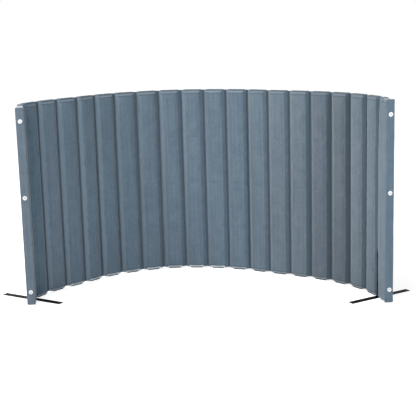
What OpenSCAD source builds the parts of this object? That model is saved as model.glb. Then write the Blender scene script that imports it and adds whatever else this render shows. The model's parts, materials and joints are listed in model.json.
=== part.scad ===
// Folding acoustic room divider. Padded panels with bevelled edges hang side by side on
// fabric webs, the wall stands on its own curve, and two slip-on steel feet steady its ends.
// Origin: middle of the bottom of the root panel. Z is up, X runs along the root panel,
// and the hollow side of the curve faces -Y.

/* [Wall] */
// Number of padded panels
panel_count = 20; // [6:2:24]
// Height of the wall
wall_h = 1219; // [900:1:1530]
// Distance from one web to the next, along the wall
pitch = 152.4; // [130:0.1:190]
// Fold at each web as the wall stands, in degrees from left to right
stance = [36, 12.5, 6.5, -6.5, 11, 13.5, 5.5, 14.5, 11.5, 7.5, 7, 10.5, -2.5, 2, 5, 9.5, 10.5, 11, 10]; // [-8:0.5:36]

/* [Panel] */
// Thickness of a panel at the middle of its face
panel_t = 52; // [41:1:57]
// Width of the flat main face
face_w = 91; // [76:1:98]
// How far the main face swells from its long edges to its middle
crown = 1.5; // [0.5:0.5:3]
// How far the side bevels draw in at their middle
bevel_draw = 1; // [0:0.5:2]
// Thickness of the stitched side edge
edge_t = 5; // [4:0.5:8]
// Height of the bevel along the top and the bottom
end_bevel_h = 15; // [10:1:22]
// Depth of the bevel along the top and the bottom
end_bevel_in = 10; // [6:1:14]
// Height of that bevel on the outer end of an end panel
box_bevel_h = 10; // [8:1:18]
// Height of the lip that the panel stands on, and of the upright edge along its top
lip_h = 8; // [7:0.5:12]
// Width of the lip that the panel stands on
lip_w = 74; // [68:1:84]
// Width of that lip on an end panel, if it had both halves. It leaves room for a foot.
foot_lip_w = 50; // [44:1:74]
// Length of the slope at each end of that lip
lip_slope = 8; // [6:1:10]
// Depth of the notch above each web, in the top of the wall
top_notch_h = 4; // [3:1:7]
// Width of that notch at its floor
top_notch_w = 32; // [24:1:48]
// Length of the slope at each side of that notch
top_notch_slope = 5; // [4:1:8]
// Distance from the middle of an end panel to its flat outer end
end_reach = 74; // [66:1:80]
// Thickness of the fabric cover
skin = 2; // [1.5:0.25:3]
// Play between the cover and the core in it
core_play = 0.3; // [0.2:0.1:1]

/* [Web] */
// Width of the web between two panels
web_w = 11.4; // [9:0.1:16]
// Thickness of the web, two layers stitched together
web_t = 2; // [1.5:0.25:2.5]
// Play between the web and the next panel
web_play = 0.3; // [0.2:0.1:0.5]

/* [Snaps] */
// Diameter of a snap's face
snap_d = 26; // [20:1:32]
// Thickness of a snap's face
snap_t = 3; // [2.5:0.5:5]
// Height of the lowest snap above the floor
snap_low = 86; // [60:1:140]
// Height of the middle snap above the floor
snap_mid = 669; // [400:1:720]
// Distance of the highest snap below the top of the wall
snap_drop = 90; // [60:1:140]
// Diameter of the stud that enters the socket
stud_d = 9; // [7:0.5:11]
// How far the stud stands out of its face
stud_len = 4; // [3:0.5:6]
// Play all round and in front of a stud in its socket
stud_play = 0.1; // [0.05:0.05:0.3]
// Thickness left behind the bore of a socket
socket_floor = 1.2; // [1:0.1:3]
// Diameter of the post that holds the snap through the cover
post_d = 6; // [4:0.5:7]
// Diameter of the backing washer inside the cover
washer_d = 22; // [16:1:26]
// Thickness of the backing washer
washer_t = 2; // [1:0.5:3]

/* [Feet] */
// Length of the floor bar on the hollow side of the wall
bar_front = 228; // [120:1:300]
// Length of the floor bar on the outer side of the wall
bar_back = 228; // [120:1:300]
// Width of the floor bar
bar_w = 38; // [25:1:40]
// Thickness of the floor bar
bar_t = 4; // [3:0.5:6]
// Diameter of a prong
prong_d = 6; // [5:0.5:6.5]
// Height of the prongs above the floor bar
prong_h = 300; // [180:5:360]
// Distance of the front prong from the middle of the web
prong_front = 20; // [6:1:24]
// Play between the back prong and the web
prong_play = 0.4; // [0.3:0.1:0.6]
// Turn of the left and of the right foot from square across the panel that each is put on
foot_turn = [2.5, 10]; // [0:0.5:12]
// Leg length of the gusset at the foot of a prong
gusset_l = 17; // [12:1:20]
// Thickness of the gusset
gusset_t = 4; // [3:0.5:5]

/* [Hidden] */
$fn = 48;
root = ceil(panel_count / 2);
edge_x = (pitch - web_w) / 2;
face_edge_y = panel_t / 2 - crown;
lip_y = panel_t / 2 - end_bevel_in;
fused = 0.5; // how far pieces of one solid reach into each other
pocket_play = 0.5;

function two_digits(i) = str(i < 10 ? "0" : "", i);
function cover_name(i) = str("panel_", two_digits(i), "_cover");
function core_name(i) = str("panel_", two_digits(i), "_core");
ENDS = ["left", "right"];

// Where each panel stands: its heading and the middle of its bottom
function fold(i) = stance[(i - 1) % len(stance)];
function folds(a, b) = a > b ? 0 : fold(a) + folds(a + 1, b);
function heading(i) = i >= root ? -folds(root, i - 1) : folds(i, root - 1);
function along(a) = [cos(a), sin(a)];
function step(i, j) = pitch / 2 * (along(heading(i)) + along(heading(j)));
function centre(i) = i == root ? [0, 0] : i > root ? centre(i - 1) + step(i - 1, i) : centre(i + 1) - step(i, i + 1);

module at_panel(i) {
    translate([centre(i).x, centre(i).y, 0])
        rotate(heading(i))
            children();
}

// Outlines of a panel. An end panel is flat at its outer side, where the others have a bevel.
function mirrored(p) = [for (q = p) [-q.x, q.y]];
function backward(p) = [for (k = [len(p) - 1:-1:0]) p[k]];
function both_sides(p) = concat(p, [for (q = backward(p)) [q.x, -q.y]]);
function bevel_side() = [
    [face_w / 2, face_edge_y],
    [(face_w / 2 + edge_x) / 2, (face_edge_y + edge_t / 2) / 2 - bevel_draw],
    [edge_x, edge_t / 2],
];
function flat_side() = [[end_reach, face_edge_y]];
function side_of(is_end) = is_end ? flat_side() : bevel_side();
function face_middle() = [for (x = [face_w / 4, 0, -face_w / 4]) [x, panel_t / 2 - crown * pow(2 * x / face_w, 2)]];
function plan_outline(left_end, right_end) =
    both_sides(concat(backward(side_of(right_end)), face_middle(), mirrored(side_of(left_end))));

function side_outline() = both_sides([
    [wall_h + lip_h, lip_y],
    [wall_h - lip_h, lip_y],
    [wall_h - lip_h - 2 * end_bevel_h, lip_y + 2 * end_bevel_in],
    [lip_h + 2 * end_bevel_h, lip_y + 2 * end_bevel_in],
    [lip_h, lip_y],
    [-lip_h, lip_y],
]);

// The lip of an end panel stops at the panel's middle. From there on the end is boxed, and it
// has the same bevel at its top and bottom as the faces have.
function lip_side(w, slope, h) = [
    [w / 2, 0],
    [w / 2 + slope, h],
    [edge_x + web_w, h],
];
function boxed_side() = [
    [0, 0],
    [lip_slope, lip_h],
    [end_reach - end_bevel_in, lip_h],
    [end_reach + end_bevel_in, lip_h + 2 * box_bevel_h],
];
function bottom_side(is_end, of_end_panel) =
    is_end ? boxed_side() : lip_side(of_end_panel ? foot_lip_w : lip_w, lip_slope, lip_h);
function top_edge_w() = pitch - top_notch_w - 2 * top_notch_slope;
function top_side(is_end) = is_end ? boxed_side() : lip_side(top_edge_w(), top_notch_slope, top_notch_h);
function front_side(is_end, of_end_panel) =
    concat(bottom_side(is_end, of_end_panel), [for (q = backward(top_side(is_end))) [q.x, wall_h - q.y]]);
function front_outline(left_end, right_end) =
    let (of_end_panel = left_end || right_end)
        concat(front_side(right_end, of_end_panel), backward(mirrored(front_side(left_end, of_end_panel))));

// A closed outline drawn in by d, its points in counterclockwise order
function unit(v) = v / norm(v);
function left_of(v) = [-v.y, v.x];
function inset(p, d) = [
    for (k = [0:len(p) - 1])
        let (
            before = left_of(unit(p[k] - p[(k + len(p) - 1) % len(p)])),
            after = left_of(unit(p[(k + 1) % len(p)] - p[k]))
        )
        p[k] + d * (before + after) / (1 + before * after)
];

// The solid of a panel, drawn in by d on all its faces
module panel_solid(i, d = 0) {
    left_end = i == 1;
    right_end = i == panel_count;
    intersection() {
        linear_extrude(3 * wall_h, center = true)
            polygon(inset(plan_outline(left_end, right_end), d));
        rotate([0, -90, 0])
            linear_extrude(2 * pitch, center = true)
                polygon(inset(side_outline(), d));
        rotate([90, 0, 0])
            linear_extrude(2 * panel_t, center = true)
                polygon(inset(front_outline(left_end, right_end), d));
    }
}

// The web is sewn to the panel on the root's side and stops just short of the next one
module web_strip(side) {
    start = edge_x - fused;
    strip_w = web_w - web_play + fused;
    mirror([side < 0 ? 1 : 0, 0, 0])
        translate([start, -web_t / 2, lip_h])
            cube([strip_w, web_t, wall_h - lip_h - top_notch_h]);
}

function has_right_web(i) = i >= root && i < panel_count;
function has_left_web(i) = i <= root && i > 1;

// A snap sits on the outer end: on the left end the stud faces left, on the right end, right
function snap_heights() = [snap_low, snap_mid, wall_h - snap_drop];
function has_stud(e, k) = (k == 1) == (e == 1);
module at_snap(e, k) {
    at_panel(e == 0 ? 1 : panel_count)
        mirror([e == 0 ? 1 : 0, 0, 0])
            translate([end_reach, 0, snap_heights()[k]])
                rotate([0, 90, 0])
                    children();
}

module panel_cover(i) {
    color([0.40, 0.47, 0.53])
        difference() {
            at_panel(i) {
                difference() {
                    panel_solid(i);
                    panel_solid(i, skin);
                }
                if (has_right_web(i)) web_strip(1);
                if (has_left_web(i)) web_strip(-1);
            }
            for (e = [0, 1], k = [0:2])
                if (i == (e == 0 ? 1 : panel_count))
                    at_snap(e, k)
                        translate([0, 0, -skin - fused])
                            cylinder(d = post_d + 2 * pocket_play, h = skin + 2 * fused);
        }
}

// The core fills the cover and leaves a pocket round each backing washer
module panel_core(i) {
    color([0.86, 0.84, 0.76])
        difference() {
            at_panel(i)
                panel_solid(i, skin + core_play);
            for (e = [0, 1], k = [0:2])
                if (i == (e == 0 ? 1 : panel_count))
                    at_snap(e, k)
                        translate([0, 0, -skin - core_play - washer_t - pocket_play])
                            cylinder(d = washer_d + 2 * pocket_play, h = washer_t + core_play + pocket_play + fused);
        }
}

// A stud is a round face with a pin in its middle and a post behind, which the washer grips
module stud() {
    cylinder(d = snap_d, h = snap_t);
    translate([0, 0, snap_t - fused])
        cylinder(d = stud_d, h = stud_len + fused);
    translate([0, 0, -skin - core_play])
        cylinder(d = post_d, h = skin + core_play + fused);
}

module socket() {
    bore_len = stud_len + stud_play;
    difference() {
        cylinder(d = snap_d, h = socket_floor + bore_len);
        translate([0, 0, socket_floor])
            cylinder(d = stud_d + 2 * stud_play, h = bore_len + fused);
    }
    translate([0, 0, -skin - core_play])
        cylinder(d = post_d, h = skin + core_play + fused);
}

module studs(e) {
    color("white")
        for (k = [0:2])
            if (has_stud(e, k)) at_snap(e, k) stud();
}

module sockets(e) {
    color("white")
        for (k = [0:2])
            if (!has_stud(e, k)) at_snap(e, k) socket();
}

module snap_washers(e) {
    color("gainsboro")
        for (k = [0:2])
            at_snap(e, k)
                translate([0, 0, -skin - core_play - washer_t])
                    cylinder(d = washer_d, h = washer_t);
}

// A foot stands under the web next to an end panel. Its front prong stands in the mouth of the
// valley between the two panels, and its back prong lies against the web.
function foot_panel(e) = e == 0 ? 2 : panel_count - 1;
module at_foot(e) {
    side = e == 0 ? -1 : 1;
    at_panel(foot_panel(e))
        translate([side * pitch / 2, 0, 0])
            rotate(side * foot_turn[e])
                children();
}
function from_web(side) = side < 0 ? prong_front : web_t / 2 + prong_play + prong_d / 2;
function prong_y(e, side) = from_web(side) / cos(foot_turn[e]);

module floor_bar(e) {
    color([0.07, 0.07, 0.07])
        at_foot(e)
            translate([-bar_w / 2, -bar_front, 0])
                cube([bar_w, bar_front + bar_back, bar_t]);
}

// side is -1 for the prong on the hollow side of the wall and 1 for the one behind it
module prong(e, side) {
    color([0.07, 0.07, 0.07])
        at_foot(e)
            mirror([0, side < 0 ? 1 : 0, 0]) {
                translate([0, prong_y(e, side), bar_t])
                    cylinder(d = prong_d, h = prong_h - prong_d / 2);
                translate([0, prong_y(e, side), bar_t + prong_h - prong_d / 2])
                    sphere(d = prong_d);
                translate([-gusset_t / 2, prong_y(e, side), bar_t])
                    rotate([90, 0, 90])
                        linear_extrude(gusset_t)
                            polygon([[0, 0], [gusset_l, 0], [0, gusset_l]]);
            }
}

for (i = [1:panel_count]) {
    panel_cover(i);
    panel_core(i);
}
for (e = [0, 1]) {
    studs(e);
    sockets(e);
    snap_washers(e);
    floor_bar(e);
    prong(e, -1);
    prong(e, 1);
}
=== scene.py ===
import json
import math

import bmesh
import bpy
import numpy as np
from mathutils import Matrix, Vector


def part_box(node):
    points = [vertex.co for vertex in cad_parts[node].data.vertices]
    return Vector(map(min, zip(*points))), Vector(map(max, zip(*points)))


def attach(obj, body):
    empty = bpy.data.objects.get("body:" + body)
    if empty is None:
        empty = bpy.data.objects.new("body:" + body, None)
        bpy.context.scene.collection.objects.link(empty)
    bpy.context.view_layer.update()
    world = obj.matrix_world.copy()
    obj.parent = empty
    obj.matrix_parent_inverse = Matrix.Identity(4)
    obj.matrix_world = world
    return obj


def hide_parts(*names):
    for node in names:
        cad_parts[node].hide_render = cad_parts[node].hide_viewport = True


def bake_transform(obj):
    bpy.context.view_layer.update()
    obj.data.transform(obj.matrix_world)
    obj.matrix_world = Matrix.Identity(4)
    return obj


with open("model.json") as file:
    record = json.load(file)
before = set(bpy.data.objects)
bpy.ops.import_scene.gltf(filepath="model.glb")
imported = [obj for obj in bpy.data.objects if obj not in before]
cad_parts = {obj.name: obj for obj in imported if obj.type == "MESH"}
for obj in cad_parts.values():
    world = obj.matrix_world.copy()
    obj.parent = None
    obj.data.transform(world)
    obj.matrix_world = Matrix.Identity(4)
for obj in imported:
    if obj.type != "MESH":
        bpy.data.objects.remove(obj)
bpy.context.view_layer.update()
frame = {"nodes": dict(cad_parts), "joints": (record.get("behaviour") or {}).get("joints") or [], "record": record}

# The set. A camera at the photograph's angle, on the hollow side of the wall, a little right of
# its middle and just above its top. It looks slightly down and leans by a degree and a half.
CAMERA_AT = Vector((0.9982, -6.7546, 1.8115))
CAMERA_TURN = math.radians(97.686)
LOOKS_DOWN = math.radians(11.584)
LEANS = math.radians(1.569)
LENS_MM = 88.70
FILM_MM = 36

looks_along = Vector((math.cos(CAMERA_TURN), math.sin(CAMERA_TURN), 0))
level_right = looks_along.cross(Vector((0, 0, 1)))
forward = looks_along * math.cos(LOOKS_DOWN) - Vector((0, 0, math.sin(LOOKS_DOWN)))
level_up = level_right.cross(forward)
film_right = level_right * math.cos(LEANS) - level_up * math.sin(LEANS)
film_up = level_up * math.cos(LEANS) + level_right * math.sin(LEANS)
camera_data = bpy.data.cameras.new("camera")
camera_data.lens = LENS_MM
camera_data.sensor_width = FILM_MM
camera_data.clip_end = 100
camera = bpy.data.objects.new("camera", camera_data)
bpy.context.scene.collection.objects.link(camera)
camera_axes = Matrix((film_right, film_up, -forward)).transposed()
camera.matrix_world = Matrix.Translation(CAMERA_AT) @ camera_axes.to_4x4()
bpy.context.scene.camera = camera
bpy.context.scene.view_settings.view_transform = "Standard"


def link(obj):
    bpy.context.scene.collection.objects.link(obj)
    return obj


def softbox(name, at, towards, size, watts):
    """A square lamp with a soft face, size metres across."""
    data = bpy.data.lights.new(name, "AREA")
    data.shape = "SQUARE"
    data.size = size
    data.energy = watts
    lamp = link(bpy.data.objects.new(name, data))
    lamp.visible_camera = False
    lamp.location = at
    lamp.rotation_euler = (Vector(towards) - Vector(at)).to_track_quat("-Z", "Y").to_euler()


# Two large soft lamps stand high on the left and a weaker one in front. Two small ones are nearer.
WALL_MIDDLE = (0.1, -0.3, 0.6)
softbox("left_lamp", (-4.07, -2.71, 5.95), WALL_MIDDLE, 2.2, 252)
softbox("far_left_lamp", (-5.67, 1.24, 4.63), WALL_MIDDLE, 2.2, 194)
softbox("front_lamp", (-2.83, -6.57, 2.59), WALL_MIDDLE, 2.2, 75)
softbox("near_lamp", (-0.70, -3.90, 2.80), (-0.6, -0.3, 0.6), 1.2, 48)
softbox("right_lamp", (3.20, -3.00, 1.70), (0, -0.3, 0.6), 1.2, 64)


def blank(material):
    """A material's node tree with only an output in it, and that output."""
    material.use_nodes = True
    tree = material.node_tree
    tree.nodes.clear()
    return tree, tree.nodes.new("ShaderNodeOutputMaterial")


def node(tree, kind, **settings):
    """A new node in tree. A setting is one of its properties, or else the value of an input, which
    is given by its name or as in_ and its number."""
    made = tree.nodes.new("ShaderNode" + kind)
    for key, value in settings.items():
        if hasattr(made, key):
            setattr(made, key, value)
            continue
        socket = int(key[3:]) if key[:3] == "in_" else key.replace("_", " ")
        made.inputs[socket].default_value = value
    return made


# The room is a white sweep. Camera, gloss and glass see it as plain white, and its light is softer.
ROOM_LIGHT = 0.03
room = bpy.data.worlds.new("room")
bpy.context.scene.world = room
room.use_nodes = True
room_tree = room.node_tree
room_tree.nodes.clear()
room_out = room_tree.nodes.new("ShaderNodeOutputWorld")
room_rays = node(room_tree, "LightPath")
seen_or_glossy = node(room_tree, "Math", operation="MAXIMUM")
shows_white = node(room_tree, "Math", operation="MAXIMUM")
room_level = node(room_tree, "Mix", in_2=ROOM_LIGHT, in_3=1.0)
room_glow = node(room_tree, "Background", Color=(1, 1, 1, 1))
room_tree.links.new(room_rays.outputs["Is Camera Ray"], seen_or_glossy.inputs[0])
room_tree.links.new(room_rays.outputs["Is Glossy Ray"], seen_or_glossy.inputs[1])
room_tree.links.new(seen_or_glossy.outputs[0], shows_white.inputs[0])
room_tree.links.new(room_rays.outputs["Is Transmission Ray"], shows_white.inputs[1])
room_tree.links.new(shows_white.outputs[0], room_level.inputs["Factor"])
room_tree.links.new(room_level.outputs["Result"], room_glow.inputs["Strength"])
room_tree.links.new(room_glow.outputs["Background"], room_out.inputs["Surface"])

# The floor is white paper. To the camera it glows besides, more and more away from the wall, so
# that it keeps the wall's shadow and meets the room without a line.
FLOOR_SIDE = 60
NEAR_GLOW = 0.7
FAR_GLOW = 1.0
GLOW_FROM = 1.0
GLOW_FULL = 3.5
half = FLOOR_SIDE / 2
floor_mesh = bpy.data.meshes.new("floor")
corners = [(-half, -half, 0), (half, -half, 0), (half, half, 0), (-half, half, 0)]
floor_mesh.from_pydata(corners, [], [(0, 1, 2, 3)])
floor = link(bpy.data.objects.new("floor", floor_mesh))
paper = bpy.data.materials.new("white_paper")
tree, out = blank(paper)
matt = node(tree, "BsdfDiffuse", Color=(0.8, 0.8, 0.8, 1))
glow = node(tree, "Emission")
rays = node(tree, "LightPath")
level = node(tree, "Math", operation="MULTIPLY")
spot = node(tree, "TexCoord")
from_wall = node(tree, "VectorMath", operation="LENGTH")
falloff = node(tree, "MapRange", From_Min=GLOW_FROM, From_Max=GLOW_FULL, To_Min=NEAR_GLOW, To_Max=FAR_GLOW)
both = node(tree, "AddShader")
tree.links.new(spot.outputs["Object"], from_wall.inputs[0])
tree.links.new(from_wall.outputs["Value"], falloff.inputs["Value"])
tree.links.new(rays.outputs["Is Camera Ray"], level.inputs[0])
tree.links.new(falloff.outputs["Result"], level.inputs[1])
tree.links.new(level.outputs[0], glow.inputs["Strength"])
tree.links.new(matt.outputs[0], both.inputs[0])
tree.links.new(glow.outputs[0], both.inputs[1])
tree.links.new(both.outputs[0], out.inputs["Surface"])
floor_mesh.materials.append(paper)

# Where the panels stand. Neighbouring panels share a web, and each web is a hinge of the frame.
# An end panel has one web, and its heading is that of the fasteners on its outer end.
web_at = {int(j["name"].split("_")[1]): Vector(j["pos_m"]) for j in frame["joints"] if j["type"] == "hinge"}
PANELS = len(web_at) + 1
ROOT = PANELS // 2
PITCH = (web_at[ROOT] - web_at[ROOT - 1]).length
mounts = {m["name"]: m for m in frame["record"]["mounts"]}


def panel_name(i):
    return f"panel_{i:02d}"


def heading(i):
    """The direction of a panel's width, from its left web to its right one."""
    if i == 1:
        return -Vector(mounts["left_low_stud"]["axis"])
    if i == PANELS:
        return Vector(mounts["right_low_socket"]["axis"])
    return (web_at[i] - web_at[i - 1]).normalized()


def place(i):
    """Takes a panel's own frame, X along its width and its middle at the origin, to where it stands."""
    x = heading(i)
    middle = web_at[i] - x * PITCH / 2 if i < PANELS else web_at[i - 1] + x * PITCH / 2
    y = Vector((-x.y, x.x, 0))
    return Matrix.Translation(middle) @ Matrix((x, y, Vector((0, 0, 1)))).transposed().to_4x4()


# The padded panels. Each is a foam board with bevelled sides in a tight fabric cover, pressed flat
# where it is stitched: down its side edges and along the lips at its top and bottom. The cover is
# cut a little full, so it swells between its seams and puckers beside them.
WALL_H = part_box("panel_10_cover")[1].z
HALF_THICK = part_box("panel_10_cover")[1].y
HALF_FACE = 0.0455
CROWN = 0.0015
# The stitched side edge
EDGE_X = 0.0705
HALF_EDGE = 0.0025
# The end bevels, and the lips beyond them at the bottom and the top
END_BEVEL_H = 0.015
END_BEVEL_IN = 0.010
LIP_H = 0.008
HALF_LIP = 0.037
FOOT_HALF_LIP = 0.025
LIP_SLOPE = 0.008
LIP_FOLD = 0.0005
TOP_LIP_FOLD = 0.0004
TOP_NOTCH_H = 0.0016
HALF_TOP_EDGE = 0.0552
TOP_SLOPE = 0.005
# The boxed outer end of an end panel
END_REACH = 0.074
BOX_ROUND = 0.004
BOX_FROM = 0.045
BOX_FULL = 0.066
RIGHT_RISE = 0.005
END_DROP = 0.0035
FACE_EDGE_Y = HALF_THICK - CROWN
LIP_Y = HALF_THICK - END_BEVEL_IN
# Where the points lie: across a face, down a side bevel, over its edge, and up an end bevel
HALF_FACE_STEPS = (0.08, 0.22, 0.36, 0.5, 0.64, 0.78, 0.9, 0.965, 1)
FACE_STEPS = (*(-step for step in reversed(HALF_FACE_STEPS)), *HALF_FACE_STEPS)
BEVEL_STEPS = (0.06, 0.2, 0.4, 0.6, 0.8, 0.94, 1)
EDGE_STEPS = (0.5, 1)
END_STEPS = (0, 0.1, 0.35, 0.65, 0.9, 1)
SEAM_ROW_OFF = 0.002
BODY_ROW_OFF = 0.006
ROW_GAP = 0.0125
DEEP = 2 * len(BEVEL_STEPS) + len(EDGE_STEPS)
ACROSS = len(FACE_STEPS) - 1
ROUND = 2 * (ACROSS + DEEP)


def side_points(reach, cap):
    """A panel's right side from the front corner to the back one, where its faces are drawn in to
    cap: flat at reach, or bevelled to the stitched edge if reach is None."""
    if reach is not None:
        return [np.array((reach, -cap + 2 * cap * s / DEEP)) for s in range(DEEP + 1)]
    slope = (EDGE_X - HALF_FACE) / (FACE_EDGE_Y - HALF_EDGE)
    corner = np.array((HALF_FACE + slope * max(FACE_EDGE_Y - cap, 0), -min(cap, FACE_EDGE_Y)))
    edge = np.array((EDGE_X, -HALF_EDGE))
    front = [corner + (edge - corner) * s for s in (0, *BEVEL_STEPS)]
    return front + [edge * (1, 1 - 2 * s) for s in EDGE_STEPS] + [p * (1, -1) for p in reversed(front[:-1])]


def unit(value):
    """The value, kept between 0 and 1."""
    return min(max(value, 0), 1)


def near_end(x):
    """0 on most of a panel, rising to 1 at the boxed end of an end panel, x from its middle."""
    t = unit((x - BOX_FROM) / (BOX_FULL - BOX_FROM))
    return t * t * (3 - 2 * t)


def ring(left_reach, right_reach, cap, left_cap, right_cap):
    """One level row of points round a panel: front face, right side, back face, left side."""
    right = side_points(right_reach, right_cap)
    left = [p * (-1, 1) for p in side_points(left_reach, left_cap)]
    front = []
    for f in FACE_STEPS:
        x = left[0][0] + (right[0][0] - left[0][0]) * (f + 1) / 2
        y = HALF_THICK - CROWN * min(abs(x) / HALF_FACE, 1) ** 2
        here = cap + (left_cap - cap) * near_end(-x) + (right_cap - cap) * near_end(x)
        front.append(np.array((x, -min(y, here))))
    back = [p * (1, -1) for p in reversed(front)]
    return front[:-1] + right[:-1] + back[:-1] + left[:0:-1]


def levels(left_end, right_end):
    """The rows of a panel from the floor up. Each has its height, then its reach to the left and
    right, and its cap in the middle and at its left and right end. The boxed ends are nearly square."""
    def bevel_row(z, s):
        cap = LIP_Y + END_BEVEL_IN * s
        drawn = BOX_ROUND * max(0, 1 - s / END_STEPS[2]) ** 2
        reaches = [END_REACH - drawn if end else None for end in (left_end, right_end)]
        caps = [HALF_THICK - drawn if end else cap for end in (left_end, right_end)]
        return (z, *reaches, cap, *caps)

    rows = []
    for z in (0, LIP_H * 0.8, LIP_H):
        boxed = LIP_SLOPE * z / LIP_H
        lip = boxed + (FOOT_HALF_LIP if left_end or right_end else HALF_LIP)
        reaches = [boxed if end else lip for end in (left_end, right_end)]
        rows.append((z, *reaches, LIP_Y, LIP_Y, LIP_Y))
    rows += [bevel_row(LIP_H + max(END_BEVEL_H * s, LIP_FOLD), s) for s in END_STEPS]
    first = LIP_H + END_BEVEL_H
    body = rows[-1][1:]
    count = math.ceil((WALL_H - 2 * first) / ROW_GAP)
    between = np.linspace(first + BODY_ROW_OFF, WALL_H - first - BODY_ROW_OFF, count)
    rows += [(z, *body) for z in (first + SEAM_ROW_OFF, *between, WALL_H - first - SEAM_ROW_OFF)]
    rows += [bevel_row(WALL_H - LIP_H - END_BEVEL_H * s, s) for s in reversed(END_STEPS)]
    for down in (LIP_H - TOP_LIP_FOLD, TOP_NOTCH_H + LIP_FOLD, TOP_NOTCH_H, TOP_NOTCH_H * 0.2, 0):
        lip = None if down > TOP_NOTCH_H else HALF_TOP_EDGE + TOP_SLOPE * down / TOP_NOTCH_H
        reaches = [down if end else lip for end in (left_end, right_end)]
        rows.append((WALL_H - down, *reaches, LIP_Y, LIP_Y, LIP_Y))
    return rows


def tube_faces(rows, count):
    """The quads between level rings of count points each, numbered from the lowest ring up."""
    faces = []
    for r in range(rows - 1):
        for k in range(count):
            m = (k + 1) % count
            faces.append((r * count + k, r * count + m, (r + 1) * count + m, (r + 1) * count + k))
    return faces


def padding_mesh(name, left_end=False, right_end=False):
    """The closed surface of one panel in its own frame, in quads, with its rows level. Its UV is in
    metres: the way round the panel, and the height."""
    rows = [(z, ring(*row)) for z, *row in levels(left_end, right_end)]
    verts = [(x, y, z) for z, points in rows for x, y in points]
    faces = tube_faces(len(rows), ROUND)
    sides = len(faces)
    for r in (0, len(rows) - 1):
        z, points = rows[r]
        index = {(a, 0): a for a in range(ACROSS + 1)}
        index |= {(ACROSS, b): ACROSS + b for b in range(DEEP + 1)}
        index |= {(a, DEEP): 2 * ACROSS + DEEP - a for a in range(ACROSS + 1)}
        index |= {(0, b): (ROUND - b) % ROUND for b in range(DEEP + 1)}
        index = {ab: r * ROUND + k for ab, k in index.items()}
        for a in range(1, ACROSS):
            for b in range(1, DEEP):
                front, back = points[a], points[2 * ACROSS + DEEP - a]
                verts.append((*(front + (back - front) * b / DEEP), z))
                index[a, b] = len(verts) - 1
        for a in range(ACROSS):
            for b in range(DEEP):
                quad = (index[a, b], index[a, b + 1], index[a + 1, b + 1], index[a + 1, b])
                faces.append(quad if r == 0 else quad[::-1])
    side = 1 if right_end else -1
    start = WALL_H - LIP_H - END_BEVEL_H
    for number, (x, y, z) in enumerate(verts):
        if (left_end or right_end) and z > LIP_H * 0.99:
            low = unit(1 - (z - LIP_H) / END_BEVEL_H)
            z -= END_DROP * unit(x * side / BOX_FULL) * low
        if right_end:
            z += RIGHT_RISE * near_end(x) * unit((z - start) / END_BEVEL_H)
        verts[number] = (x, y, z)
    mesh = bpy.data.meshes.new(name)
    mesh.from_pydata(verts, [], faces)
    mesh.polygons.foreach_set("use_smooth", [True] * len(faces))
    girth = [0.0]
    middle = rows[len(rows) // 2][1]
    for k in range(ROUND):
        girth.append(girth[-1] + float(np.linalg.norm(middle[(k + 1) % ROUND] - middle[k])))
    spread = []
    for number, face in enumerate(faces):
        for v in face:
            if number >= sides:
                spread.append(verts[v][:2])
                continue
            k = v % ROUND
            wraps = k == 0 and ROUND - 1 in [w % ROUND for w in face]
            spread.append((girth[ROUND] if wraps else girth[k], verts[v][2]))
    uv = mesh.uv_layers.new(name="UVMap")
    uv.data.foreach_set("uv", np.array(spread, dtype=np.float32).ravel())
    return mesh


def points_of(mesh):
    """A mesh's points, each a row of x, y and z."""
    flat = np.empty(3 * len(mesh.vertices))
    mesh.vertices.foreach_get("co", flat)
    return flat.reshape(-1, 3)


def near(value, places, reach):
    """1 where value is at one of the places, falling smoothly to 0 at reach from it."""
    off = np.min([np.abs(value - p) for p in places], axis=0)
    return 1 - np.clip(off / reach, 0, 1) ** 2 * (3 - 2 * np.clip(off / reach, 0, 1))


# How the covers are blown up over their foam, and where the fasteners hold them
PRESSURE = 4
SLACK = 0.012
CLOTH_MASS = 0.15
BENDING = 0.3
SETTLING_FRAMES = 20
MOST_SWELL = 0.0035
CALM_AT_EDGE = 0.7
HELD = 0.002
SNAP_NAMES = ("left_low_stud", "left_middle_socket", "left_high_stud")
SNAP_HEIGHTS = tuple(mounts[name]["pos_m"][2] for name in SNAP_NAMES)
DIMPLE_R = 0.0175


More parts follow.
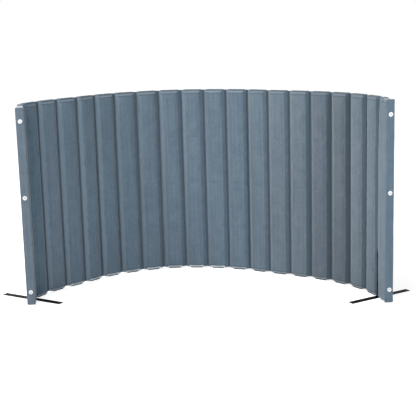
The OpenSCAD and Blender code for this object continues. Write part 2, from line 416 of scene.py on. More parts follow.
def filled(mesh, end_side=0):
    """Swells a cover in a cloth simulation. Its stitched edges and lips are held, and so is the
    cloth round the fasteners on the outer end, which is at end_side: -1 is left, 1 right."""
    pad = link(bpy.data.objects.new("filling", mesh))
    rest = points_of(mesh)
    x, y, z = rest.T
    held = (np.abs(x) > EDGE_X - HELD) & (np.abs(y) < HALF_EDGE + HELD / 2)
    held |= (z < LIP_H + HELD) | (z > WALL_H - LIP_H - HELD / 2)
    if end_side:
        on_end = x * end_side > END_REACH - HELD / 2
        from_snap = np.min([np.hypot(y, z - height) for height in SNAP_HEIGHTS], axis=0)
        held |= on_end & (from_snap < DIMPLE_R)
        held &= ~(on_end & (z > LIP_H + HELD) & (z < WALL_H - LIP_H - HELD) & (from_snap > DIMPLE_R))
    pins = pad.vertex_groups.new(name="stitched")
    pins.add(np.flatnonzero(held).tolist(), 1, "REPLACE")
    cloth = pad.modifiers.new("cover_cloth", "CLOTH")
    cloth.settings.quality = 4
    cloth.settings.mass = CLOTH_MASS
    cloth.settings.vertex_group_mass = "stitched"
    cloth.settings.use_pressure = True
    cloth.settings.uniform_pressure_force = PRESSURE
    cloth.settings.shrink_min = -SLACK
    cloth.settings.bending_stiffness = BENDING
    cloth.settings.effector_weights.gravity = 0
    cloth.collision_settings.use_collision = False
    for f in range(1, SETTLING_FRAMES + 1):
        bpy.context.scene.frame_set(f)
    swollen = pad.evaluated_get(bpy.context.evaluated_depsgraph_get())
    moved = points_of(swollen.data) - rest
    bpy.context.scene.frame_set(1)
    length = np.linalg.norm(moved, axis=1, keepdims=True)
    moved *= np.minimum(1, MOST_SWELL / np.maximum(length, 1e-9))
    on_bevel = np.clip((np.abs(rest[:, :1]) - HALF_FACE) / (EDGE_X - HALF_FACE), 0, 1)
    moved *= 1 - CALM_AT_EDGE * on_bevel
    mesh.vertices.foreach_set("co", (rest + moved).ravel())
    bpy.data.objects.remove(pad)


# The dents on each side of a cover: how many, where they may lie, how they lean, how long and wide
# they are, how deep as a share of the panel's depth, where less than 0 is a bulge, and how they
# fade towards its ends
DENT_SEED = 20
DENTS = 9
DENT_REACH = 0.055
DENT_LEAN = 0.03
DENT_LONG = (0.12, 0.4)
DENT_WIDE = (0.007, 0.016)
DENT_SHARE = (-0.7, 1)
DENT_FROM_END = 0.15
CALM_END = 0.05
CALM_FADE = 0.12
# Shallow waves over a whole side: the share of depth, the waves up the side and how they lean, and
# the waves across it and how they lean
WAVES = ((0.35, 17, 9, 40, 0), (0.3, 41, 0, 55, 2))
# The seams at the heads of the end bevels cross the faces and run down the side bevels to SEAM_FROM off the
# panel's middle plane. The tape covers the bottom bevels, and its pale colour is a painted reflection of the
# floor.
SEAM_FROM = 0.0145
SEAM_PULL = 0.0009
SEAM_ROUND = 0.0016
SEAM_WIDE = 0.0045
TAPE_THICK = 0.0006
TAPE_DROP = 0.0004
# How wide the painted shade is along the pressed edges and lips, how wide the rubbed corners with their painted
# highlight are, and how the light and shade painted on a side bevel come and go over it
EDGE_WIDE = 0.0034
EDGE_DEEP = 0.002
LIP_WIDE = 0.002
LIP_PAST = 0.0002
LIP_SHADE = 0.6
CORNER_WIDE = 0.004
BEVEL_PAINT_COMES = 0.006
BEVEL_PAINT_GOES = 0.004
BEVEL_PAINT_PAST = 0.001
END_FACE_DEEP = 0.006
# The rows of a mesh that lie on its bottom bevels, its top bevels and the flat top of a boxed end.
# The last two are counted down from the top.
TAPED_ROWS = (3, 7)
TOP_ROWS = (-10, -7)
FLAT_TOP_ROWS = (-6, -5)
# How the panels differ. The fourth and the fifth are the most creased, and the painted reflection on the taped
# bottom bevels is brightest in the middle of the wall. Each cover is tinted: bluer and darker on the left as
# painted shade where the panels face away from the lamps, and paler and warmer on the right as painted light where
# they face them.
FOLD_DEPTHS = {4: 0.0026, 5: 0.0024, 6: 0.0016, 2: 0.0014}
PLAIN_FOLDS = 0.0011
CREASES = {4: 1.0, 5: 2.2, 6: 0.7, 13: 1.2}
PLAIN_CREASES = 0.3
# How bright the floor's painted reflection on the taped bottom bevels is, panel by panel, and how bright the
# painted highlight on the tops is
FLOOR_REFLECTION_LEFT = {11: 1.0, 10: 0.95, 12: 0.5, 9: 0.75} | {i: 0.85 for i in range(4, 9)}
PLAIN_FLOOR_REFLECTION = 0.26
FIRST_ON_RIGHT = 13
LEFT_TOP_HIGHLIGHT = 0.1
RIGHT_TOP_HIGHLIGHT = 0.035
END_TOP_HIGHLIGHT = 0.45
# Painted light on each left side bevel and painted shade on each right one; these panels get more of it
LIT_LEFT_BEVELS = {i: 1.7 for i in (3, 4, 5, 6, 7, 9, 10)}
SHADED_RIGHT_BEVELS = {i: 1.6 for i in range(15, 20)}
# Tints. The blue one is painted shade on the left panels and a painted cool fill light on the right end's face.
# The warm one is painted light on the right panels, which face the lamps. The dull one darkens panels 16 and 17
# and the left end's face.
BLUE_TINT = (0.71, 0.81, 0.86)
WARM_TINT = (1.21, 1.05, 0.93)
DULL_TINT = (0.93, 0.85, 0.81)
BLUE_TINT_SHARES = {2: 1.0, 3: 0.2, 4: 0.35, 5: 0.4, 6: 0.35, 7: 0.3, 8: 0.1}
WARM_TINT_SHARES = {13: 0.2, 14: 0.35, 15: 0.4, 18: 0.5, 19: 0.4, 20: 0.3}
DULL_TINT_SHARES = {16: 0.9, 17: 1.1}
TINTS = {i: (BLUE_TINT, share) for i, share in BLUE_TINT_SHARES.items()}
TINTS |= {i: (WARM_TINT, share) for i, share in WARM_TINT_SHARES.items()}
TINTS |= {i: (DULL_TINT, share) for i, share in DULL_TINT_SHARES.items()}
END_TINTS = {1: (DULL_TINT, 0.5), 20: (BLUE_TINT, 0.6)}


def tinted(tint, share):
    """The colour factor of a piece of cloth with that share of a tint."""
    return tuple(1 + share * (c - 1) for c in tint)


def banded_points(mesh, outer):
    """Three masks of points: the bottom bevels of the two faces, which a tape covers and where a reflection of the
    floor is painted, their top bevels, and the flat top of a boxed end, where outer is the half of the panel with
    that end."""
    count = len(mesh.vertices)
    side_rows = (count - 2 * (ACROSS - 1) * (DEEP - 1)) // ROUND
    k = np.arange(count) % ROUND
    row = np.arange(count) // ROUND
    on_face = ((k >= 1) & (k <= ACROSS - 1)) | ((k >= ACROSS + DEEP + 1) & (k <= 2 * ACROSS + DEEP - 1))
    masks = []
    for where, (first, last) in ((on_face, TAPED_ROWS), (on_face, TOP_ROWS), (outer, FLAT_TOP_ROWS)):
        counted_from = side_rows if first < 0 else 0
        masks.append((where & (row >= counted_from + first) & (row <= counted_from + last)).astype(float))
    return masks


def creased(mesh, number):
    """Adds what tells one panel from the next: soft upright folds and dents, and creases in the weave. It also
    sets how bright the reflection painted on its tape and the highlight painted on its tops are, the light and
    shade painted on its side bevels, and its tint. The seams at the heads of the end bevels are pulled in, and
    shade is painted along them, the lips and the stitched edges."""
    depth = FOLD_DEPTHS.get(number, PLAIN_FOLDS)
    rng = np.random.default_rng(DENT_SEED + number)
    p = points_of(mesh)
    x, y, z = p.T
    flat = np.clip((np.abs(y) - HALF_EDGE * 3) / (HALF_THICK * 0.5), 0, 1)
    inner = np.clip(np.minimum(z - CALM_END, WALL_H - CALM_END - z) / CALM_FADE, 0, 1)
    for side in (-1, 1):
        dent = np.zeros(len(p))
        for _ in range(DENTS):
            line = rng.uniform(-DENT_REACH, DENT_REACH)
            line = line + rng.uniform(-DENT_LEAN, DENT_LEAN) * (z - WALL_H / 2)
            long = rng.uniform(*DENT_LONG)
            middle = rng.uniform(DENT_FROM_END, WALL_H - DENT_FROM_END)
            wide = rng.uniform(*DENT_WIDE)
            form = np.exp(-((x - line) / wide) ** 2 - ((z - middle) / long) ** 2)
            dent += rng.uniform(*DENT_SHARE) * depth * form
        phases = rng.uniform(0, 6.3, 2 * len(WAVES)).reshape(-1, 2)
        for (share, up, up_lean, across, across_lean), (first, second) in zip(WAVES, phases):
            upward = np.sin(z * up + first + up_lean * x)
            dent += depth * share * upward * np.sin(x * across + second + across_lean * z)
        on_side = y * side > 0
        p[on_side, 1] -= (side * dent * flat * inner)[on_side]
    face = np.abs(y) > SEAM_FROM
    at_seams = (LIP_H + END_BEVEL_H, WALL_H - LIP_H - END_BEVEL_H)
    p[:, 1] -= np.sign(y) * SEAM_PULL * near(z, at_seams, SEAM_ROUND) * face
    seam = near(z, at_seams, SEAM_WIDE) * face
    outer = {1: x < 0, PANELS: x > 0}.get(number, np.zeros(len(p), bool))
    taped_and_reflecting, lit_top_bevels, lit_flat_top = banded_points(mesh, outer)
    # Painted light on the left side bevels and painted shade on the right ones, fading in from the face and out at
    # the stitched edge
    comes = np.clip((np.abs(x) - HALF_FACE) / BEVEL_PAINT_COMES, 0, 1)
    slope = comes * np.clip((EDGE_X + BEVEL_PAINT_PAST - np.abs(x)) / BEVEL_PAINT_GOES, 0, 1) * ~outer
    bevel_light_shade = slope * np.where(x < 0, LIT_LEFT_BEVELS.get(number, 1.0), -SHADED_RIGHT_BEVELS.get(number, 0.8))
    p[:, 1] += np.sign(y) * TAPE_THICK * taped_and_reflecting
    p[:, 2] -= TAPE_DROP * taped_and_reflecting
    mesh.vertices.foreach_set("co", p.ravel())
    # Painted shade along the lips, the stitched side edges and the seams
    lip = np.clip((LIP_H + LIP_PAST - z) / LIP_WIDE, 0, 1)
    lip += np.clip((z - WALL_H + LIP_H + LIP_PAST) / LIP_WIDE, 0, 1)
    edge = near(np.abs(x), (EDGE_X,), EDGE_WIDE) * (np.abs(y) < HALF_EDGE + EDGE_DEEP)
    # Rubbed face corners, partly wear and partly a painted highlight
    corner = near(np.abs(x), (HALF_FACE,), CORNER_WIDE) * (np.abs(y) > FACE_EDGE_Y - CORNER_WIDE) * inner
    # Painted highlight on the top bevels and flat tops, and a painted reflection of the floor on the taped bottom
    # bevels
    top_highlight = LEFT_TOP_HIGHLIGHT if number < FIRST_ON_RIGHT else RIGHT_TOP_HIGHLIGHT
    highlight_share = taped_and_reflecting * FLOOR_REFLECTION_LEFT.get(number, PLAIN_FLOOR_REFLECTION) + lit_top_bevels * top_highlight
    values = {
        "crease_shade": np.clip(seam + LIP_SHADE * lip + edge, 0, 1),
        "painted_highlight": np.maximum(highlight_share, lit_flat_top * END_TOP_HIGHLIGHT),
        "rubbed_highlight": corner,
        "creasing": np.full(len(p), CREASES.get(number, PLAIN_CREASES)),
        "roll_place": np.full(len(p), float(number)),
        "bevel_light_shade": bevel_light_shade,
    }
    for name, value in values.items():
        layer = mesh.attributes.new(name, "FLOAT", "POINT")
        layer.data.foreach_set("value", value.astype(np.float32))
    # The panel's tint, painted shade or painted light as given with the tints
    panel_tint = np.ones((len(p), 4))
    panel_tint[:, :3] = tinted(*TINTS.get(number, (WARM_TINT, 0)))
    on_end = outer & (np.abs(x) > END_REACH - END_FACE_DEEP)
    panel_tint[on_end, :3] = tinted(*END_TINTS.get(number, (WARM_TINT, 0)))
    layer = mesh.attributes.new("panel_tint", "FLOAT_COLOR", "POINT")
    layer.data.foreach_set("color", panel_tint.ravel().astype(np.float32))


def group(name, ins, outs):
    """An empty node group. ins and outs give each socket's name and type."""
    made = bpy.data.node_groups.new(name, "ShaderNodeTree")
    for socket, kind in ins:
        made.interface.new_socket(socket, in_out="INPUT", socket_type="NodeSocket" + kind)
    for socket, kind in outs:
        made.interface.new_socket(socket, in_out="OUTPUT", socket_type="NodeSocket" + kind)
    return made, made.nodes.new("NodeGroupInput"), made.nodes.new("NodeGroupOutput")


def place_group(tree, made, **values):
    """Puts a node group in tree and sets its inputs to the values."""
    placed = tree.nodes.new("ShaderNodeGroup")
    placed.node_tree = made
    for key, value in values.items():
        placed.inputs[key.replace("_", " ")].default_value = value
    return placed


def maths(tree, operation, a, b=None):
    """A Math node. a and b are numbers or outputs. Gives its output."""
    made = tree.nodes.new("ShaderNodeMath")
    made.operation = operation
    for socket, value in zip(made.inputs, (a, b)):
        if value is None:
            continue
        if isinstance(value, (int, float)):
            socket.default_value = value
        else:
            tree.links.new(value, socket)
    return made.outputs[0]


def mixed(tree, factor, a, b):
    """A colour Mix node. a and b are colours or outputs, factor is an output. Gives its result."""
    made = tree.nodes.new("ShaderNodeMix")
    made.data_type = "RGBA"
    tree.links.new(factor, made.inputs[0])
    for socket, value in zip(made.inputs[6:8], (a, b)):
        if isinstance(value, tuple):
            socket.default_value = (*value, 1)
        else:
            tree.links.new(value, socket)
    return made.outputs[2]


def noise(tree, vector, scale, detail=2.0, stretch=(1, 1, 1)):
    """A Noise texture's value over vector, stretched by stretch. Gives its output."""
    mapping = node(tree, "Mapping", Scale=stretch)
    tree.links.new(vector, mapping.inputs["Vector"])
    made = node(tree, "TexNoise", Scale=scale, Detail=detail)
    tree.links.new(mapping.outputs[0], made.inputs["Vector"])
    return made.outputs[0]


def surfaced(tree, out, colour, rough, relief, strength, distance, **values):
    """Ends a material with a Principled surface of that colour, roughness and relief. rough is a
    number or an output. The values go to the surface's other inputs."""
    bump = node(tree, "Bump", Strength=strength, Distance=distance)
    shader = node(tree, "BsdfPrincipled", **values)
    tree.links.new(relief, bump.inputs["Height"])
    tree.links.new(colour, shader.inputs["Base Color"])
    tree.links.new(bump.outputs[0], shader.inputs["Normal"])
    tree.links.new(shader.outputs[0], out.inputs["Surface"])
    if isinstance(rough, float):
        shader.inputs["Roughness"].default_value = rough
    else:
        tree.links.new(rough, shader.inputs["Roughness"])


# Plain weave: threads that pass over and under each other, a little uneven
WEAVE_INS = (("Vector", "Vector"), ("Thread", "Float"))
weave, start, end = group("plain_weave", WEAVE_INS, (("Height", "Float"),))
wobble = node(weave, "TexNoise", Scale=260, Detail=1)
weave.links.new(start.outputs["Vector"], wobble.inputs["Vector"])
parts = node(weave, "SeparateXYZ")
weave.links.new(start.outputs["Vector"], parts.inputs[0])
turns = maths(weave, "DIVIDE", math.tau, start.outputs["Thread"])
uneven = maths(weave, "MULTIPLY", wobble.outputs[0], 2.4)
across, along = [maths(weave, "MULTIPLY", parts.outputs[axis], turns) for axis in (0, 1)]
across = maths(weave, "SINE", maths(weave, "ADD", across, uneven))
along = maths(weave, "SINE", maths(weave, "ADD", along, uneven))
weave.links.new(maths(weave, "MULTIPLY", across, along), end.inputs["Height"])

# Heathered yarn: pale and dark fibres mixed in the spinning, with cloudy and upright drifts of tone
heather, start, end = group("heathered_yarn", (("Vector", "Vector"), ("Fibre scale", "Float")),
                            (("Fibres", "Float"), ("Drift", "Float")))
slubs = node(heather, "TexNoise", Detail=3)
long_way = node(heather, "Mapping", Scale=(1, 1, 0.18))
heather.links.new(start.outputs["Vector"], long_way.inputs["Vector"])
heather.links.new(long_way.outputs[0], slubs.inputs["Vector"])
heather.links.new(start.outputs["Fibre scale"], slubs.inputs["Scale"])
heather.links.new(slubs.outputs[0], end.inputs["Fibres"])
clouds = noise(heather, start.outputs["Vector"], 16, 3)
drifts = noise(heather, start.outputs["Vector"], 110, 3, (1, 1, 0.02))
mottle = noise(heather, start.outputs["Vector"], 190, 1, (1, 1, 0.6))
soft = maths(heather, "MULTIPLY", clouds, 0.3)
soft = maths(heather, "ADD", soft, maths(heather, "MULTIPLY", drifts, 0.4))
soft = maths(heather, "ADD", soft, maths(heather, "MULTIPLY", mottle, 0.3))
heather.links.new(soft, end.inputs["Drift"])

# A row of lockstitches, from the distance along it and the distance off its line. A stitch is a
# dome that fills most of its length.
STITCH_FILL = 2.35
ROW_INS = [(name, "Float") for name in ("Along", "Off", "Stitch", "Thread")]
stitching, start, end = group("lockstitch", ROW_INS, (("Mask", "Float"), ("Height", "Float")))
phase = maths(stitching, "DIVIDE", start.outputs["Along"], start.outputs["Stitch"])
phase = maths(stitching, "SUBTRACT", maths(stitching, "FRACT", phase), 0.5)
from_middle = maths(stitching, "MULTIPLY", maths(stitching, "ABSOLUTE", phase), STITCH_FILL)
from_line = maths(stitching, "ABSOLUTE", start.outputs["Off"])
from_line = maths(stitching, "DIVIDE", from_line, start.outputs["Thread"])
from_middle = maths(stitching, "POWER", from_middle, 6)
reach = maths(stitching, "ADD", from_middle, maths(stitching, "POWER", from_line, 2))
dome = maths(stitching, "MAXIMUM", maths(stitching, "SUBTRACT", 1, reach), 0)
stitching.links.new(maths(stitching, "GREATER_THAN", dome, 0.05), end.inputs["Mask"])
stitching.links.new(maths(stitching, "SQRT", dome), end.inputs["Height"])

PALE_FIBRE = (0.205, 0.268, 0.325)
DARK_FIBRE = (0.088, 0.137, 0.188)
# Painted shade at the pressed seams, the lips and the stitched edges, and in the webs
CREASE_SHADE_COLOUR = (0.062, 0.088, 0.112)
# Painted highlight on the tops and painted reflection of the floor on the bottom bevels
HIGHLIGHT_COLOUR = (0.88, 0.93, 0.96)
PLAIN_SHARE = 0.44
# How much the side bevels' painted light and shade shifts their colour
BEVEL_LIGHT_SHADE_SHARE = 0.34
# Rubbed corners, partly wear and partly painted highlight
RUBBED_HIGHLIGHT_COLOUR = (0.20, 0.262, 0.318)
THREAD_COLOUR = (0.17, 0.225, 0.275)
THREAD_PITCH = 0.0016
PUCKER_RELIEF = 9
FIBRE_SCALE = 900
STITCH = 0.0042
STITCH_THREAD = 0.0005
TAPE_SEAMS = (LIP_H + 0.0022, LIP_H + END_BEVEL_H - 0.0024)
SEAM_ROWS = (*TAPE_SEAMS, *(WALL_H - z for z in TAPE_SEAMS))


def cover_fabric():
    """The covers' fabric: a heathered plain weave with rows of stitches. It has painted shade where it is pressed,
    light and shade painted on its side bevels, highlights painted on its rubbed corners, tops and taped bottom
    bevels, and a tint for each panel."""
    material = bpy.data.materials.new("cover_fabric")
    tree, out = blank(material)
    coords = node(tree, "TexCoord")
    masks = {name: node(tree, "Attribute", attribute_name=name).outputs["Fac"]
             for name in ("crease_shade", "painted_highlight", "rubbed_highlight", "creasing", "roll_place", "bevel_light_shade")}
    panel_tint = node(tree, "Attribute", attribute_name="panel_tint")
    along_roll = node(tree, "CombineXYZ")
    on_roll = node(tree, "VectorMath", operation="ADD")
    tree.links.new(masks["roll_place"], along_roll.inputs["Z"])
    tree.links.new(coords.outputs["Object"], on_roll.inputs[0])
    tree.links.new(along_roll.outputs[0], on_roll.inputs[1])
    yarn = place_group(tree, heather, Fibre_scale=FIBRE_SCALE)
    tree.links.new(on_roll.outputs[0], yarn.inputs["Vector"])
    threads = place_group(tree, weave, Thread=THREAD_PITCH)
    tree.links.new(coords.outputs["UV"], threads.inputs["Vector"])
    where = node(tree, "SeparateXYZ")
    tree.links.new(coords.outputs["UV"], where.inputs[0])
    off = None
    for z in SEAM_ROWS:
        away = maths(tree, "ABSOLUTE", maths(tree, "SUBTRACT", where.outputs[1], z))
        off = away if off is None else maths(tree, "MINIMUM", off, away)
    row = place_group(tree, stitching, Stitch=STITCH, Thread=STITCH_THREAD)
    tree.links.new(where.outputs[0], row.inputs["Along"])
    tree.links.new(off, row.inputs["Off"])
    fibres = maths(tree, "MULTIPLY", maths(tree, "SUBTRACT", yarn.outputs["Fibres"], 0.5), 1.1)
    drift = maths(tree, "MULTIPLY", maths(tree, "SUBTRACT", yarn.outputs["Drift"], 0.5), 1.6)
    # The side bevels' painted light and shade
    bevel_lit_share = maths(tree, "ADD", maths(tree, "MULTIPLY", masks["bevel_light_shade"], BEVEL_LIGHT_SHADE_SHARE), PLAIN_SHARE)
    pale_share = maths(tree, "ADD", maths(tree, "ADD", fibres, drift), bevel_lit_share)
    untinted = mixed(tree, pale_share, DARK_FIBRE, PALE_FIBRE)
    # Each panel's tint, partly painted light and shade
    in_tint = node(tree, "Mix", data_type="RGBA", blend_type="MULTIPLY", in_0=1.0)
    tree.links.new(untinted, in_tint.inputs[6])
    tree.links.new(panel_tint.outputs["Color"], in_tint.inputs[7])
    # Rubbed corners, partly wear and partly painted highlight
    rubbed_highlight = maths(tree, "MULTIPLY", masks["rubbed_highlight"], yarn.outputs["Drift"])
    colour = mixed(tree, rubbed_highlight, in_tint.outputs[2], RUBBED_HIGHLIGHT_COLOUR)
    # Painted shade at the pressed seams, lips and edges
    colour = mixed(tree, maths(tree, "MULTIPLY", masks["crease_shade"], 0.7), colour, CREASE_SHADE_COLOUR)
    # Painted highlights on the tops and painted reflection of the floor on the bottom bevels
    colour = mixed(tree, masks["painted_highlight"], colour, HIGHLIGHT_COLOUR)
    colour = mixed(tree, row.outputs["Mask"], colour, THREAD_COLOUR)
    relief = maths(tree, "MULTIPLY", threads.outputs["Height"], 0.35)
    relief = maths(tree, "ADD", relief, maths(tree, "MULTIPLY", yarn.outputs["Fibres"], 0.5))
    relief = maths(tree, "ADD", relief, maths(tree, "MULTIPLY", row.outputs["Height"], 1.4))
    puckers = noise(tree, on_roll.outputs[0], 120, 3, (1, 1, 0.025))
    puckers = maths(tree, "MULTIPLY", puckers, masks["creasing"])
    relief = maths(tree, "ADD", relief, maths(tree, "MULTIPLY", puckers, PUCKER_RELIEF))
    rough = maths(tree, "ADD", maths(tree, "MULTIPLY", yarn.outputs["Fibres"], 0.2), 0.75)
    surfaced(tree, out, colour, rough, relief, strength=0.5, distance=0.0004,
             Sheen_Weight=0.3, Sheen_Roughness=0.5, Specular_IOR_Level=0.2)
    return material


COVER = cover_fabric()
SHAPES = {
    "left": padding_mesh("left_padding", left_end=True),
    "right": padding_mesh("right_padding", right_end=True),
    "tight": padding_mesh("tight_padding"),
}
for kind, end_side in (("left", -1), ("right", 1), ("tight", 0)):
    filled(SHAPES[kind], end_side)
for i in range(1, PANELS + 1):
    shape = SHAPES["left" if i == 1 else "right" if i == PANELS else "tight"].copy()
    if 1 < i < PANELS and i % 2:
        shape.transform(Matrix.Rotation(math.pi, 4, "Z"))
    shape.name = panel_name(i) + "_padding"
    creased(shape, i)
    pad = link(bpy.data.objects.new(panel_name(i) + "_padding", shape))
    pad.matrix_world = place(i)
    shape.materials.append(COVER)
    rounder = pad.modifiers.new("rounder", "SUBSURF")
    rounder.levels = rounder.render_levels = 1
    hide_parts(panel_name(i) + "_cover", panel_name(i) + "_core")
    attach(pad, panel_name(i))

# The webs. Each is two layers of the cover's fabric laid together and stitched down both edges. It
# is sewn between two panels, and it bends where the wall bends.
HALF_WEB = 0.001
WEB_TUCK = 0.004
WEB_GAP = PITCH / 2 - EDGE_X
WEB_ROWS = 80
# The webs are painted dark, as the shade in the folds between the panels
WEB_SHADE_COLOUR = (0.075, 0.105, 0.135)
WEB_STITCH_OFF = 0.0034


def web_mesh(i):
    """A strip from the edge of panel i to the edge of the next, in the frame's place. Its UV is in
    metres: the distance from the web's middle line, and the height."""
    left, right = heading(i), heading(i + 1)
    up = Vector((0, 0, 1))
    steps = (-WEB_GAP - WEB_TUCK, -WEB_GAP, -WEB_GAP / 2, 0, WEB_GAP / 2, WEB_GAP, WEB_GAP + WEB_TUCK)
    line = [web_at[i] + (right if s > 0 else left) * s for s in steps]
    # In a fold the middle is drawn a little into the corner
    line[3] = web_at[i] + (right - left) * WEB_GAP / 8
    side = (left + right).normalized().cross(up)
    heights = np.linspace(LIP_H + LIP_FOLD, WALL_H - TOP_NOTCH_H - LIP_FOLD, WEB_ROWS)
    there = list(zip(line, steps))
    around = [(p, s, 1) for p, s in there] + [(p, s, -1) for p, s in reversed(there)]
    verts = [tuple(p + side * HALF_WEB * sign + up * float(z)) for z in heights for p, s, sign in around]
    count = len(around)
    faces = tube_faces(WEB_ROWS, count)
    faces.append(tuple(reversed(range(count))))
    faces.append(tuple(range((WEB_ROWS - 1) * count, WEB_ROWS * count)))
    mesh = bpy.data.meshes.new(f"web_{i:02d}")
    mesh.from_pydata(verts, [], faces)
    mesh.polygons.foreach_set("use_smooth", [True] * len(faces))
    uv = mesh.uv_layers.new(name="UVMap")
    spread = [(around[v % count][1], verts[v][2]) for face in faces for v in face]
    uv.data.foreach_set("uv", np.array(spread, dtype=np.float32).ravel())
    return mesh


def web_fabric():
    """The same weave pressed flat and painted dark, as the shade in the folds between the panels, with a row of
    stitches along each edge.
    """
    material = bpy.data.materials.new("web_fabric")
    tree, out = blank(material)
    coords = node(tree, "TexCoord")
    yarn = place_group(tree, heather, Fibre_scale=FIBRE_SCALE)
    tree.links.new(coords.outputs["Object"], yarn.inputs["Vector"])
    threads = place_group(tree, weave, Thread=THREAD_PITCH)
    tree.links.new(coords.outputs["UV"], threads.inputs["Vector"])
    where = node(tree, "SeparateXYZ")
    tree.links.new(coords.outputs["UV"], where.inputs[0])
    row = place_group(tree, stitching, Stitch=STITCH, Thread=STITCH_THREAD)
    tree.links.new(where.outputs[1], row.inputs["Along"])
    off = maths(tree, "SUBTRACT", maths(tree, "ABSOLUTE", where.outputs[0]), WEB_STITCH_OFF)
    tree.links.new(off, row.inputs["Off"])
    # Painted shade: the web is drawn dark all over
    colour = mixed(tree, yarn.outputs["Fibres"], CREASE_SHADE_COLOUR, WEB_SHADE_COLOUR)
    colour = mixed(tree, row.outputs["Mask"], colour, THREAD_COLOUR)
    relief = maths(tree, "MULTIPLY", threads.outputs["Height"], 0.3)
    relief = maths(tree, "ADD", relief, row.outputs["Height"])
    surfaced(tree, out, colour, 0.85, relief, strength=0.5, distance=0.0004,
             Sheen_Weight=0.1, Specular_IOR_Level=0.2)
    return material


WEB_FABRIC = web_fabric()
for i in range(1, PANELS):
    web = link(bpy.data.objects.new(f"web_{i:02d}", web_mesh(i)))
    web.data.materials.append(WEB_FABRIC)
    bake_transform(web)

# The fasteners. On the outer end of each end panel three round snaps are moulded in white plastic,
# some a stud and some a socket, and each is held by a post through the cover to a washer behind it.
TURNED_SIDES = 64
POST_R = 0.0042
PLASTIC_COLOUR = (0.93, 0.94, 0.945)
DUST_COLOUR = (0.82, 0.84, 0.85)
# Painted grey shade at the middle of each snap
MIDDLE_SHADE_COLOUR = (0.42, 0.46, 0.50)
# Radii and heights over the end face, from inside the cover outwards: the post and the flange, then
# a stud's rim, groove and knob, or a socket's rim, step and well
POST_AND_FLANGE = ((0, -0.0043), (0.003, -0.0043), (0.003, -0.0002), (0.0126, -0.0002), (0.013, 0.0003))
STUD_PROFILE = (*POST_AND_FLANGE, (0.013, 0.0022), (0.0127, 0.0028), (0.0121, 0.003), (0.0108, 0.003),
                (0.0101, 0.0027), (0.0098, 0.0021), (0.0078, 0.0021), (0.0074, 0.0027), (0.0068, 0.003),
                (0.0052, 0.003), (0.0045, 0.0034), (0.0041, 0.0042), (0.0043, 0.005), (0.0045, 0.0056),
                (0.0044, 0.0064), (0.0037, 0.007), (0, 0.007))
SOCKET_PROFILE = (*POST_AND_FLANGE, (0.013, 0.0042), (0.0127, 0.005), (0.0119, 0.0053), (0.0100, 0.0053),
                  (0.0094, 0.0049), (0.0088, 0.0049), (0.0082, 0.0053), (0.0062, 0.0053), (0.0052, 0.0051),
                  (0.0046, 0.0045), (0.0046, 0.0016), (0.0042, 0.0012), (0, 0.0012))


def turned(bm, profile, to_place):
    """Turns a profile of radii and heights about Z and puts it in its place. The points within a post's radius are
    marked for the grey shade painted at the middle of a snap."""
    rings = []
    painted_middle_shade = bm.verts.layers.float.get("painted_middle_shade") or bm.verts.layers.float.new("painted_middle_shade")
    for r, z in profile:
        if r == 0:
            rings.append([bm.verts.new(to_place @ Vector((0, 0, z)))])
            rings[-1][0][painted_middle_shade] = 1
            continue
        angles = [math.tau * k / TURNED_SIDES for k in range(TURNED_SIDES)]
        around = [Vector((r * math.cos(a), r * math.sin(a), z)) for a in angles]
        rings.append([bm.verts.new(to_place @ p) for p in around])
        for v in rings[-1]:
            v[painted_middle_shade] = float(r <= POST_R)
    for a, b in zip(rings, rings[1:]):
        for k in range(TURNED_SIDES):
            m = (k + 1) % TURNED_SIDES
            face = [a[k % len(a)], a[m % len(a)], b[m % len(b)], b[k % len(b)]]
            bm.faces.new(list(dict.fromkeys(face))).smooth = True


def moulded_plastic():
    """White moulded plastic with a fine matt skin, a little dust, and a grey shade painted at the middle of each
    snap.
    """
    material = bpy.data.materials.new("snap_plastic")
    tree, out = blank(material)
    coords = node(tree, "TexCoord")
    skin = noise(tree, coords.outputs["Object"], 1600, 2)
    dust = noise(tree, coords.outputs["Object"], 240, 3)
    colour = mixed(tree, maths(tree, "MULTIPLY", dust, 0.3), PLASTIC_COLOUR, DUST_COLOUR)
    middle_shade = node(tree, "Attribute", attribute_name="painted_middle_shade")
    # Painted grey shade at the middle of each snap
    colour = mixed(tree, middle_shade.outputs["Fac"], colour, MIDDLE_SHADE_COLOUR)
    rough = maths(tree, "ADD", maths(tree, "MULTIPLY", dust, 0.25), 0.25)
    surfaced(tree, out, colour, rough, skin, strength=0.15, distance=0.0001, IOR=1.48)
    return material


SNAP_PLASTIC = moulded_plastic()
for end, body in (("left", panel_name(1)), ("right", panel_name(PANELS))):
    for kind, profile in (("stud", STUD_PROFILE), ("socket", SOCKET_PROFILE)):
        bm = bmesh.new()
        for name, mount in mounts.items():
            if not (name.startswith(end) and name.endswith(kind)):
                continue
            axis = Vector(mount["axis"])
            middle = place(1 if end == "left" else PANELS).translation + axis * END_REACH
            foot = Matrix.Translation((middle.x, middle.y, mount["pos_m"][2]))
            turned(bm, profile, foot @ axis.to_track_quat("Z", "Y").to_matrix().to_4x4())
        bmesh.ops.recalc_face_normals(bm, faces=bm.faces)
        mesh = bpy.data.meshes.new(f"{end}_{kind}_mouldings")
        bm.to_mesh(mesh)
        bm.free()
        snaps = link(bpy.data.objects.new(mesh.name, mesh))
        mesh.materials.append(SNAP_PLASTIC)
        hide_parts(f"{end}_{kind}s")
        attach(snaps, body)
    washers = frame["nodes"][f"{end}_snap_washers"]
    washers.data.materials.clear()
    washers.data.materials.append(SNAP_PLASTIC)

# The feet. Each is a flat steel bar with two upright round prongs and their gussets welded on, and
# all of it is powder-coated black. The prongs are pushed up on both sides of a web.
COAT_COLOUR = (0.004, 0.004, 0.0045)
SCUFF_COLOUR = (0.02, 0.02, 0.021)


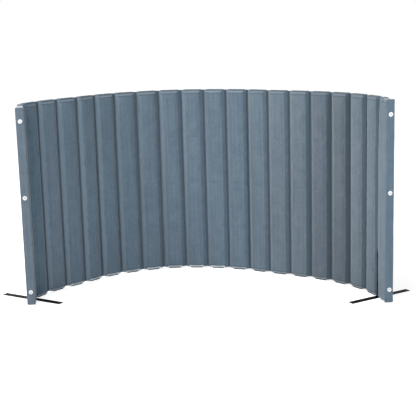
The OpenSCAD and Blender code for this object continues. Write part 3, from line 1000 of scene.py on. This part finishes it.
def powder_coat():
    """Black powder coat: fine orange peel, with a few dull scuffs."""
    material = bpy.data.materials.new("foot_steel")
    tree, out = blank(material)
    coords = node(tree, "TexCoord")
    peel = noise(tree, coords.outputs["Object"], 900, 2)
    scuffs = noise(tree, coords.outputs["Object"], 70, 4, (1, 1, 3))
    worn = maths(tree, "MAXIMUM", maths(tree, "SUBTRACT", scuffs, 0.58), 0)
    colour = mixed(tree, maths(tree, "MULTIPLY", worn, 3), COAT_COLOUR, SCUFF_COLOUR)
    rough = maths(tree, "ADD", maths(tree, "MULTIPLY", scuffs, 0.3), 0.5)
    surfaced(tree, out, colour, rough, peel, strength=0.25, distance=0.0002,
             Specular_IOR_Level=0.1)
    return material


# Round each prong's foot lies a weld, a ring with waves. The prong's middle is that of its tip.
BAR_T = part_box("left_foot_floor_bar")[1].z
PRONG_R = 0.003
TIP_H = 0.01
BEAD_R = 0.0016
BEAD_STEPS = 72
BEAD_SIDES = 8
BEAD_WAVES = 9
BEAD_SEEDS = {"left": 7, "right": 8}
CORNER_R = 0.0006
FOOT_STEEL = powder_coat()
for end, body in (("left", "left_foot"), ("right", "right_foot")):
    for part in ("floor_bar", "front_prong", "back_prong"):
        steel = frame["nodes"][f"{body}_{part}"]
        steel.data.materials.clear()
        steel.data.materials.append(FOOT_STEEL)
        joined = steel.modifiers.new("joined_corners", "WELD")
        joined.merge_threshold = 0.00001
        worn_edges = steel.modifiers.new("broken_edges", "BEVEL")
        worn_edges.width = CORNER_R
        worn_edges.segments = 2
        worn_edges.limit_method = "ANGLE"
        worn_edges.angle_limit = math.radians(50)
        worn_edges.harden_normals = True
    for part in ("front", "back"):
        prong_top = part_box(f"{body}_{part}_prong")[1].z
        points = points_of(frame["nodes"][f"{body}_{part}_prong"].data)
        middle = points[points[:, 2] > prong_top - TIP_H].mean(axis=0)
        rng = np.random.default_rng(BEAD_SEEDS[end])
        verts = []
        faces = []
        for k in range(BEAD_STEPS):
            a = math.tau * k / BEAD_STEPS
            out_x, out_y = math.cos(a), math.sin(a)
            fat = BEAD_R * (1 + 0.16 * math.sin(BEAD_WAVES * a) + 0.05 * rng.standard_normal())
            here, after = k * BEAD_SIDES, (k + 1) % BEAD_STEPS * BEAD_SIDES
            for s in range(BEAD_SIDES):
                b = math.tau * s / BEAD_SIDES
                r = PRONG_R + fat * math.cos(b)
                verts.append((middle[0] + r * out_x, middle[1] + r * out_y, BAR_T + fat * math.sin(b)))
                t = (s + 1) % BEAD_SIDES
                faces.append((here + s, after + s, after + t, here + t))
        mesh = bpy.data.meshes.new(f"{body}_{part}_weld")
        mesh.from_pydata(verts, [], faces)
        mesh.polygons.foreach_set("use_smooth", [True] * len(faces))
        mesh.materials.append(FOOT_STEEL)
        weld = link(bpy.data.objects.new(mesh.name, mesh))
        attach(weld, body)
